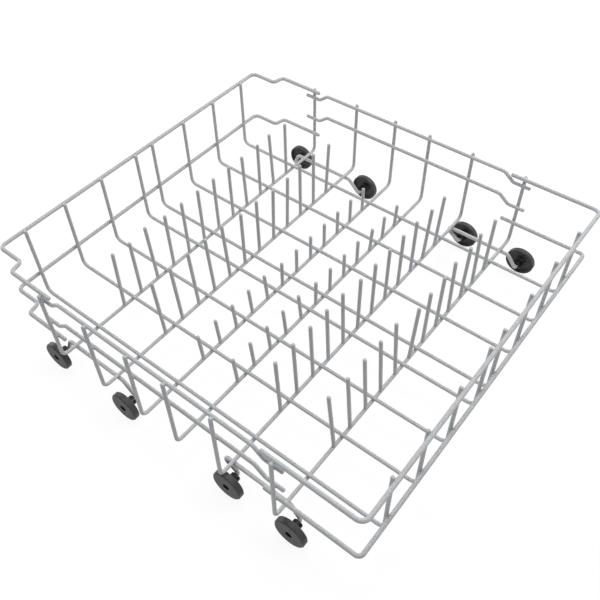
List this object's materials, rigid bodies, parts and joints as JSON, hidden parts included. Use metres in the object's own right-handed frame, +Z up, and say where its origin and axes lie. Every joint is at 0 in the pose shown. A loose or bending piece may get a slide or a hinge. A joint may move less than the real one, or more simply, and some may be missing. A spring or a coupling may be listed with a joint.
{
  "type": "dishwasher basket",
  "caption": "Lower dishwasher basket of coated wire: an open tray with plate tines, stepped rear rim and free-turning plastic wheels that roll it out of the machine.",
  "frame": {"origin": "on the surface that the wheels stand on, under the middle of the basket", "axes": "+Z up, -Y towards the front wall, the way the basket is pulled out, +X to the right seen from the front"},
  "size_m": [0.5056, 0.5326, 0.1533],
  "materials": {
    "coated_wire": "satin light grey plastic coating on steel wire",
    "wheel_plastic": "matt dark grey moulded plastic"
  },
  "bodies": {
    "basket": {"long_wire_1": "coated_wire", "long_wire_2": "coated_wire", "long_wire_3": "coated_wire", "long_wire_4": "coated_wire", "long_wire_5": "coated_wire", "long_wire_6": "coated_wire", "long_wire_7": "coated_wire", "long_wire_8": "coated_wire", "cross_wire_1": "coated_wire", "cross_wire_2": "coated_wire", "cross_wire_3": "coated_wire", "cross_wire_4": "coated_wire", "cross_wire_5": "coated_wire", "cross_wire_6": "coated_wire", "tine_row_1": "coated_wire", "tine_row_2": "coated_wire", "tine_row_3": "coated_wire", "tine_row_4": "coated_wire", "tine_row_5": "coated_wire", "tine_row_6": "coated_wire", "rear_rim_wire": "coated_wire", "rear_lower_wire": "coated_wire", "front_rim_wire": "coated_wire", "front_lower_wire": "coated_wire", "left_side_rim_wire": "coated_wire", "left_side_lower_wire": "coated_wire", "left_rear_wheel_wire": "coated_wire", "left_front_wheel_wire": "coated_wire", "right_side_rim_wire": "coated_wire", "right_side_lower_wire": "coated_wire", "right_rear_wheel_wire": "coated_wire", "right_front_wheel_wire": "coated_wire"},
    "left_wheel_1": {"left_wheel_1": "wheel_plastic"},
    "left_wheel_2": {"left_wheel_2": "wheel_plastic"},
    "left_wheel_3": {"left_wheel_3": "wheel_plastic"},
    "left_wheel_4": {"left_wheel_4": "wheel_plastic"},
    "right_wheel_1": {"right_wheel_1": "wheel_plastic"},
    "right_wheel_2": {"right_wheel_2": "wheel_plastic"},
    "right_wheel_3": {"right_wheel_3": "wheel_plastic"},
    "right_wheel_4": {"right_wheel_4": "wheel_plastic"}
  },
  "joints": [
    {"name": "left_wheel_1_spin", "type": "hinge", "parent": "basket", "child": "left_wheel_1", "pos_m": [-0.2465, 0.187, 0.0195], "axis": [1, 0, 0], "continuous": true},
    {"name": "left_wheel_2_spin", "type": "hinge", "parent": "basket", "child": "left_wheel_2", "pos_m": [-0.2465, 0.066, 0.0195], "axis": [1, 0, 0], "continuous": true},
    {"name": "left_wheel_3_spin", "type": "hinge", "parent": "basket", "child": "left_wheel_3", "pos_m": [-0.2465, -0.09557, 0.0195], "axis": [1, 0, 0], "continuous": true},
    {"name": "left_wheel_4_spin", "type": "hinge", "parent": "basket", "child": "left_wheel_4", "pos_m": [-0.2465, -0.1815, 0.0195], "axis": [1, 0, 0], "continuous": true},
    {"name": "right_wheel_1_spin", "type": "hinge", "parent": "basket", "child": "right_wheel_1", "pos_m": [0.2465, 0.187, 0.0195], "axis": [1, 0, 0], "continuous": true},
    {"name": "right_wheel_2_spin", "type": "hinge", "parent": "basket", "child": "right_wheel_2", "pos_m": [0.2465, 0.066, 0.0195], "axis": [1, 0, 0], "continuous": true},
    {"name": "right_wheel_3_spin", "type": "hinge", "parent": "basket", "child": "right_wheel_3", "pos_m": [0.2465, -0.10357, 0.0195], "axis": [1, 0, 0], "continuous": true},
    {"name": "right_wheel_4_spin", "type": "hinge", "parent": "basket", "child": "right_wheel_4", "pos_m": [0.2465, -0.1895, 0.0195], "axis": [1, 0, 0], "continuous": true}
  ]
}
